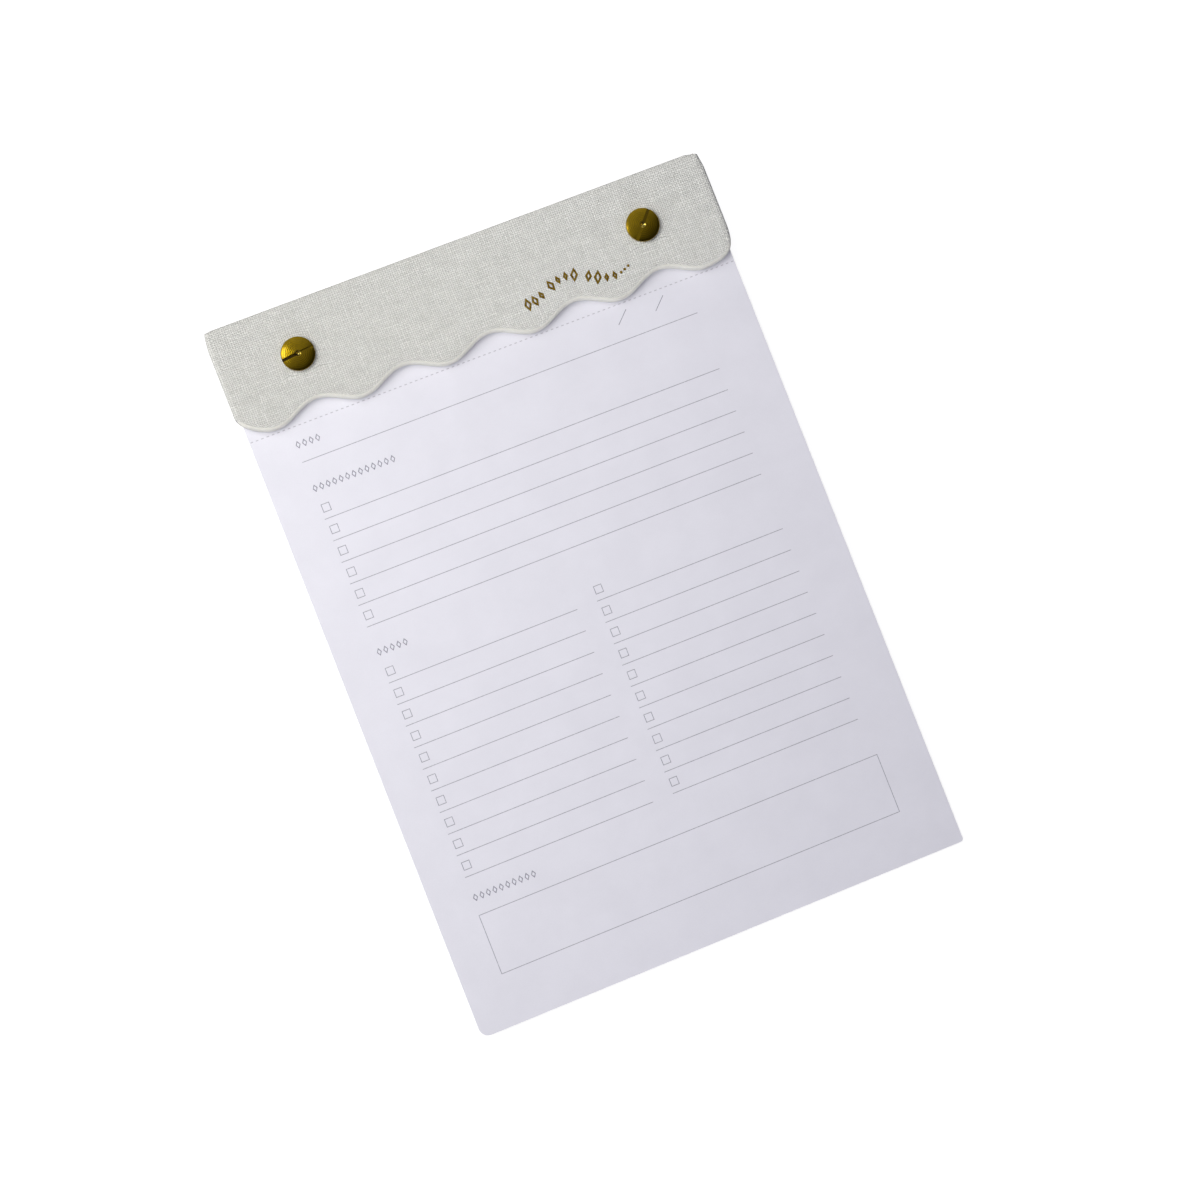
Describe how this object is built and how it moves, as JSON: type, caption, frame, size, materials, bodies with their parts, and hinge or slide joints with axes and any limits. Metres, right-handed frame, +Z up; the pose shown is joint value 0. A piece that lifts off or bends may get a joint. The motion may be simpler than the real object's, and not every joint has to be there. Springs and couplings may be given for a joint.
{
  "type": "daily notepad",
  "caption": "Tear-off daily notepad under a scalloped, cloth-covered head strip held by slotted brass binding screws, on a greyboard back.",
  "frame": {"origin": "on the table, under the middle of the pad's width and length", "axes": "+X across the width to the right, +Y along the sheets towards the bound head, +Z up out of the writing face"},
  "size_m": [0.1514, 0.213, 0.0127],
  "materials": {
    "paper": "smooth uncoated white paper with grey print",
    "lining_paper": "plain lining paper",
    "book_cloth": "fine linen weave, warm light grey",
    "greyboard": "unbleached greyboard",
    "brass": "turned and polished"
  },
  "bodies": {
    "root": {"back_board": "greyboard", "front_board": "greyboard", "spine_board": "greyboard", "front_lining": "lining_paper", "cover_cloth": "book_cloth", "left_post": "brass", "right_post": "brass", "sheet_01_stub": "paper", "sheet_02_stub": "paper", "sheet_03_stub": "paper", "sheet_04_stub": "paper", "sheet_05": "paper", "sheet_06": "paper", "sheet_07": "paper", "sheet_08": "paper", "sheet_09": "paper", "sheet_10": "paper", "sheet_11": "paper", "sheet_12": "paper", "sheet_13": "paper", "sheet_14": "paper", "sheet_15": "paper", "sheet_16": "paper", "sheet_17": "paper", "sheet_18": "paper", "sheet_19": "paper", "sheet_20": "paper", "sheet_21": "paper", "sheet_22": "paper", "sheet_23": "paper", "sheet_24": "paper", "sheet_25": "paper", "sheet_26": "paper", "sheet_27": "paper", "sheet_28": "paper", "sheet_29": "paper", "sheet_30": "paper", "sheet_31": "paper", "sheet_32": "paper", "sheet_33": "paper", "sheet_34": "paper", "sheet_35": "paper", "sheet_36": "paper", "sheet_37": "paper", "sheet_38": "paper", "sheet_39": "paper", "sheet_40": "paper"},
    "leaf_1": {"sheet_01_leaf": "paper"},
    "leaf_2": {"sheet_02_leaf": "paper"},
    "leaf_3": {"sheet_03_leaf": "paper"},
    "leaf_4": {"sheet_04_leaf": "paper"},
    "left_screw": {"left_screw": "brass"},
    "right_screw": {"right_screw": "brass"}
  },
  "joints": [
    {"name": "leaf_1_lift", "type": "hinge", "parent": "root", "child": "leaf_1", "pos_m": [0, 0.0731, 0.0081], "axis": [-1, 0, 0], "range_deg": [0, 110]},
    {"name": "leaf_2_lift", "type": "hinge", "parent": "root", "child": "leaf_2", "pos_m": [0, 0.0731, 0.0081], "axis": [-1, 0, 0], "range_deg": [0, 66]},
    {"name": "leaf_3_lift", "type": "hinge", "parent": "root", "child": "leaf_3", "pos_m": [0, 0.0731, 0.0081], "axis": [-1, 0, 0], "range_deg": [0, 33]},
    {"name": "leaf_4_lift", "type": "hinge", "parent": "root", "child": "leaf_4", "pos_m": [0, 0.0731, 0.0081], "axis": [-1, 0, 0], "range_deg": [0, 11]},
    {"name": "left_screw_turn", "type": "hinge", "parent": "root", "child": "left_screw", "pos_m": [-0.0525, 0.0915, 0.0109], "axis": [0, 0, 1], "continuous": true},
    {"name": "right_screw_turn", "type": "hinge", "parent": "root", "child": "right_screw", "pos_m": [0.0525, 0.0915, 0.0109], "axis": [0, 0, 1], "continuous": true}
  ],
  "couplings": [
    {"joint": "leaf_2_lift", "follows": "leaf_1_lift", "ratio": 0.6},
    {"joint": "leaf_3_lift", "follows": "leaf_1_lift", "ratio": 0.3},
    {"joint": "leaf_4_lift", "follows": "leaf_1_lift", "ratio": 0.1}
  ]
}
